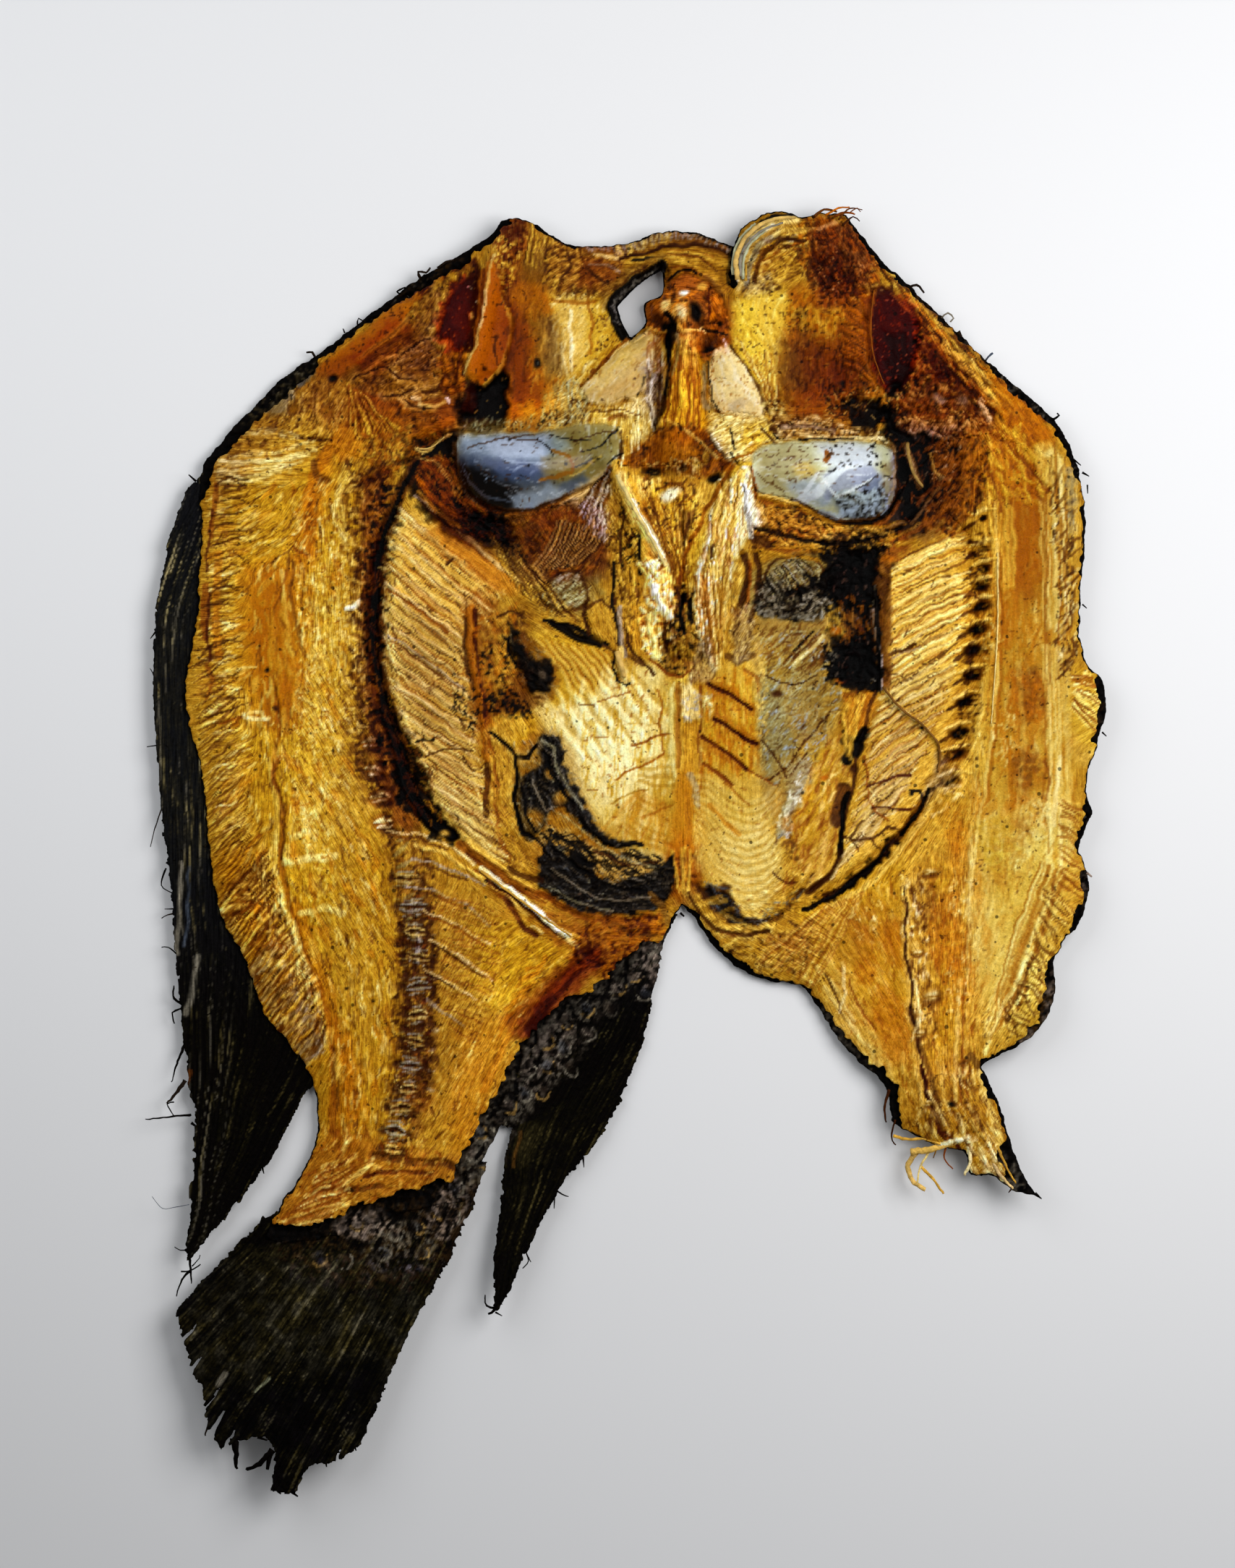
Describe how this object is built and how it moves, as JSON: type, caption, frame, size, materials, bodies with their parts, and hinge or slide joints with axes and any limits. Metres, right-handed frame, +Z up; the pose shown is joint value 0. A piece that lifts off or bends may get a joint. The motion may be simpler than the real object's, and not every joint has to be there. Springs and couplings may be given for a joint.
{
  "type": "dried tilapia",
  "caption": "Dried tilapia cut open along the back and spread flat, flesh side up, with rib fans, gill covers and three dried fins.",
  "frame": {"origin": "on the ground under the middle of the fish's box", "axes": "+Y towards the head, +Z up out of the cut flesh side, +X towards the half without fins"},
  "size_m": [0.224, 0.3, 0.0159],
  "materials": {
    "flesh": "dried golden-brown fish flesh, fibrous, part glossy",
    "skin": "dried near-black fish skin with scales",
    "fins": "dried dark fins with fine rays",
    "gill_cover": "silvery blue-grey lining of the gill covers",
    "bone": "dried cream bone and cartilage"
  },
  "bodies": {
    "root": {"fish": "flesh"}
  },
  "joints": []
}
